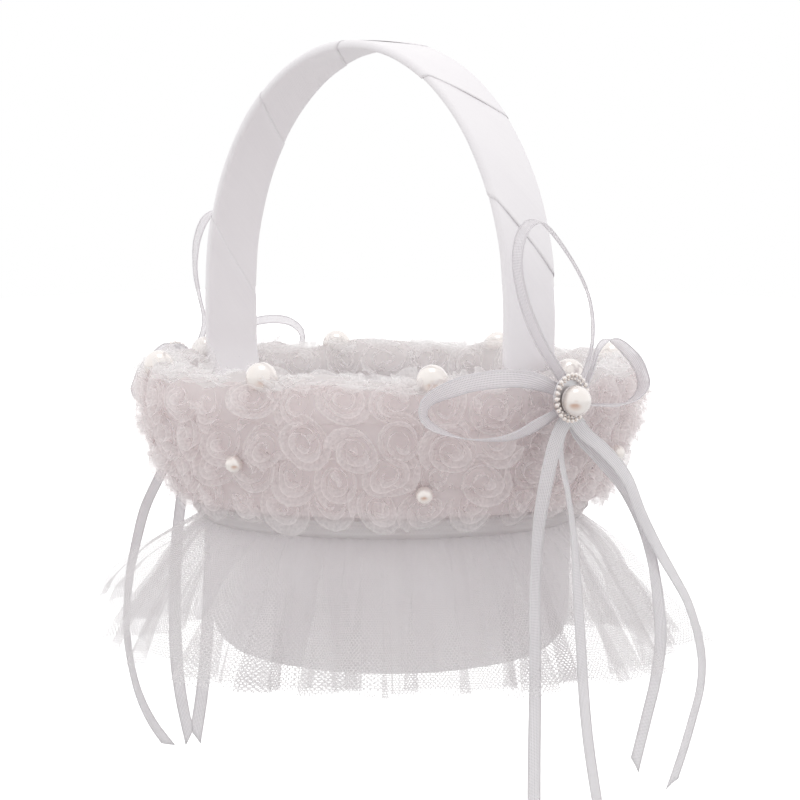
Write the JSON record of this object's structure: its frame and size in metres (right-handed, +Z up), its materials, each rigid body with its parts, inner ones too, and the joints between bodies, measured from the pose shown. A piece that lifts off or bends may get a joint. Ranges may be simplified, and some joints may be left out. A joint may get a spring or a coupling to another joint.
{
  "type": "flower girl basket",
  "caption": "Round white satin basket with a ribbon-wrapped arch handle, chiffon rosette rim, gathered tulle skirt, pearls, and ribbon bows with long tails.",
  "frame": {"origin": "middle of the underside of the handle's crown, where the carrying hand goes", "axes": "+Z up, +X from the handle's far leg to its near leg, so the arch stands in the XZ plane; +Y across the handle"},
  "size_m": [0.2157, 0.204, 0.2662],
  "materials": {
    "satin": "white satin, smooth with a soft sheen",
    "chiffon": "white chiffon rosettes with frayed edges, sheer",
    "tulle": "white hexagonal net, see-through",
    "ribbon": "white ribbed satin ribbon, slightly sheer",
    "pearl": "pearlescent coating over a plastic bead",
    "board": "moulded fibre board, matt",
    "steel": "bright wire and pressed plate"
  },
  "bodies": {
    "root": {"base_disc": "satin", "basket_shell": "board", "far_bow_bead_ring": "pearl", "far_bow_brooch_plate": "steel", "far_bow_cabochon": "pearl", "far_bow_knot": "ribbon", "far_bow_loop_left": "ribbon", "far_bow_loop_right": "ribbon", "far_bow_loop_up": "ribbon", "far_bow_tail_1": "ribbon", "far_bow_tail_2": "ribbon", "far_bow_tail_3": "ribbon", "floor_card": "board", "handle_core": "board", "handle_wrap": "satin", "inner_lining": "satin", "near_bow_bead_ring": "pearl", "near_bow_brooch_plate": "steel", "near_bow_cabochon": "pearl", "near_bow_knot": "ribbon", "near_bow_loop_left": "ribbon", "near_bow_loop_right": "ribbon", "near_bow_loop_up": "ribbon", "near_bow_tail_1": "ribbon", "near_bow_tail_2": "ribbon", "near_bow_tail_3": "ribbon", "near_bow_tail_4": "ribbon", "outer_cover": "satin", "rim_pearl_1": "pearl", "rim_pearl_2": "pearl", "rim_pearl_3": "pearl", "rim_pearl_4": "pearl", "rim_pearl_5": "pearl", "rim_pearl_6": "pearl", "rim_pearl_7": "pearl", "rim_pearl_8": "pearl", "rim_roll": "chiffon", "rosette_row_1": "chiffon", "rosette_row_2": "chiffon", "rosette_row_3": "chiffon", "skirt_inner": "tulle", "skirt_outer": "tulle", "staple_far_1": "steel", "staple_far_2": "steel", "staple_near_1": "steel", "staple_near_2": "steel", "trim_pearl_1": "pearl", "trim_pearl_2": "pearl", "trim_pearl_3": "pearl", "trim_pearl_4": "pearl", "trim_pearl_5": "pearl", "trim_pearl_6": "pearl", "waist_band": "tulle"}
  },
  "joints": []
}
